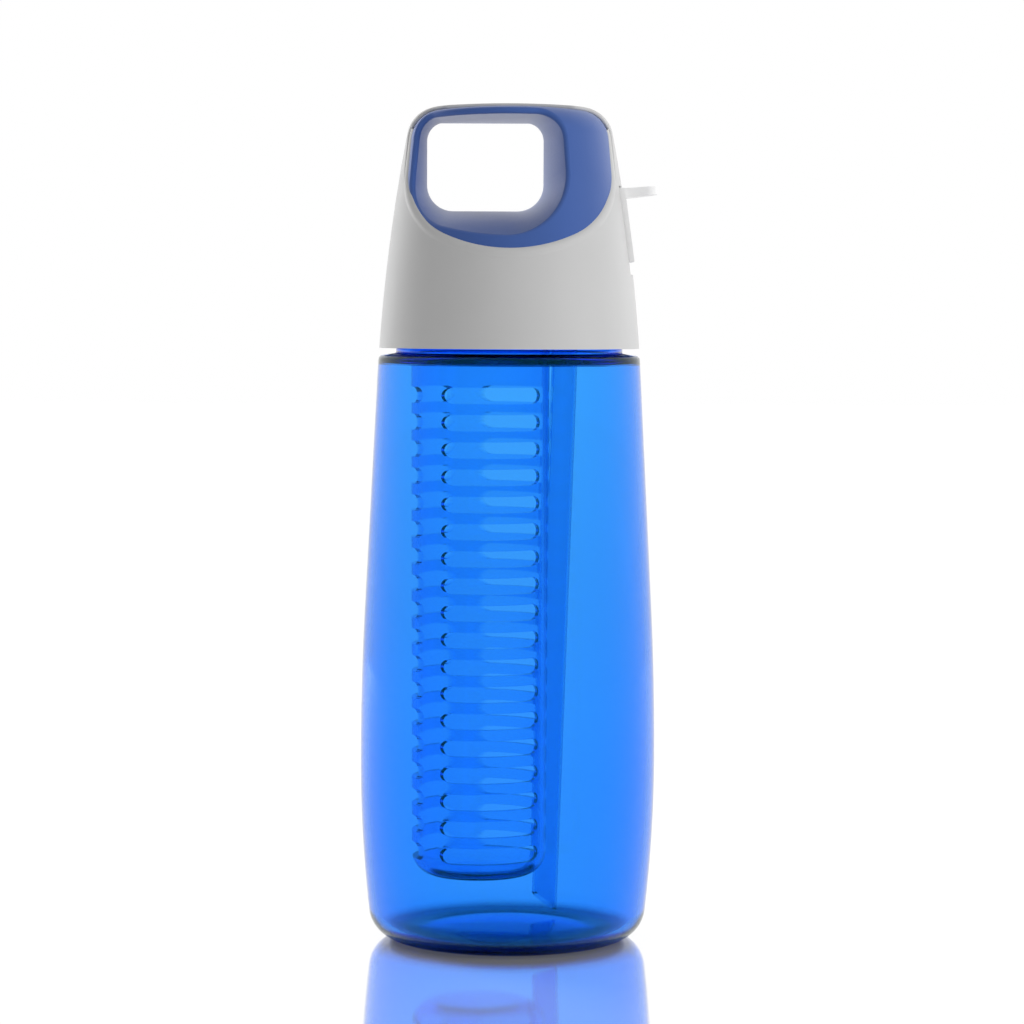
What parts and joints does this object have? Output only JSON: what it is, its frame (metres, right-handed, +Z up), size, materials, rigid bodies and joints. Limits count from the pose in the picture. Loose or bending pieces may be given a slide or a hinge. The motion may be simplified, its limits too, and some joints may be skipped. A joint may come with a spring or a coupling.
{
  "type": "fruit infuser water bottle",
  "caption": "Clear drinking bottle with a slotted infuser basket and a straw hanging from a screw lid that has a finger loop and a flip spout.",
  "frame": {"origin": "middle of the base, on the surface that the bottle stands on", "axes": "+Z up along the bottle's axis, -Y towards the front window of the lid, +X towards the spout"},
  "size_m": [0.0848, 0.0848, 0.2396],
  "materials": {
    "bottle": "clear, blow moulded",
    "basket": "clear, moulded",
    "straw": "clear, drawn tube",
    "shell": "satin, moulded",
    "core": "satin, moulded",
    "cap": "satin, moulded",
    "cover": "satin, moulded",
    "soft": "moulded silicone",
    "pin": "drawn wire"
  },
  "bodies": {
    "bottle": {"bottle_body": "bottle"},
    "lid_seal": {"neck_gasket": "soft"},
    "lid": {"threaded_cap": "cap", "lid_shell": "shell", "loop_core": "core", "straw_elbow": "cap", "straw": "straw", "mouthpiece": "soft", "hinge_pin": "pin", "vent_valve": "soft", "basket_o_ring": "soft"},
    "spout": {"spout_cover": "cover", "spout_plug": "soft"},
    "basket": {"infuser_basket": "basket"}
  },
  "joints": [
    {"name": "lid_lift", "type": "slide", "parent": "bottle", "child": "lid_seal", "axis": [0, 0, 1], "range_m": [0, 0.19]},
    {"name": "lid_turn", "type": "hinge", "parent": "lid_seal", "child": "lid", "pos_m": [0, 0, 0.18], "axis": [0, 0, 1], "range_deg": [0, 450]},
    {"name": "spout_flip", "type": "hinge", "parent": "lid", "child": "spout", "pos_m": [0.0306, 0, 0.197], "axis": [0, 1, 0], "range_deg": [0, 95]},
    {"name": "basket_pull", "type": "slide", "parent": "lid", "child": "basket", "axis": [0, 0, -1], "range_m": [0, 0.012]}
  ]
}
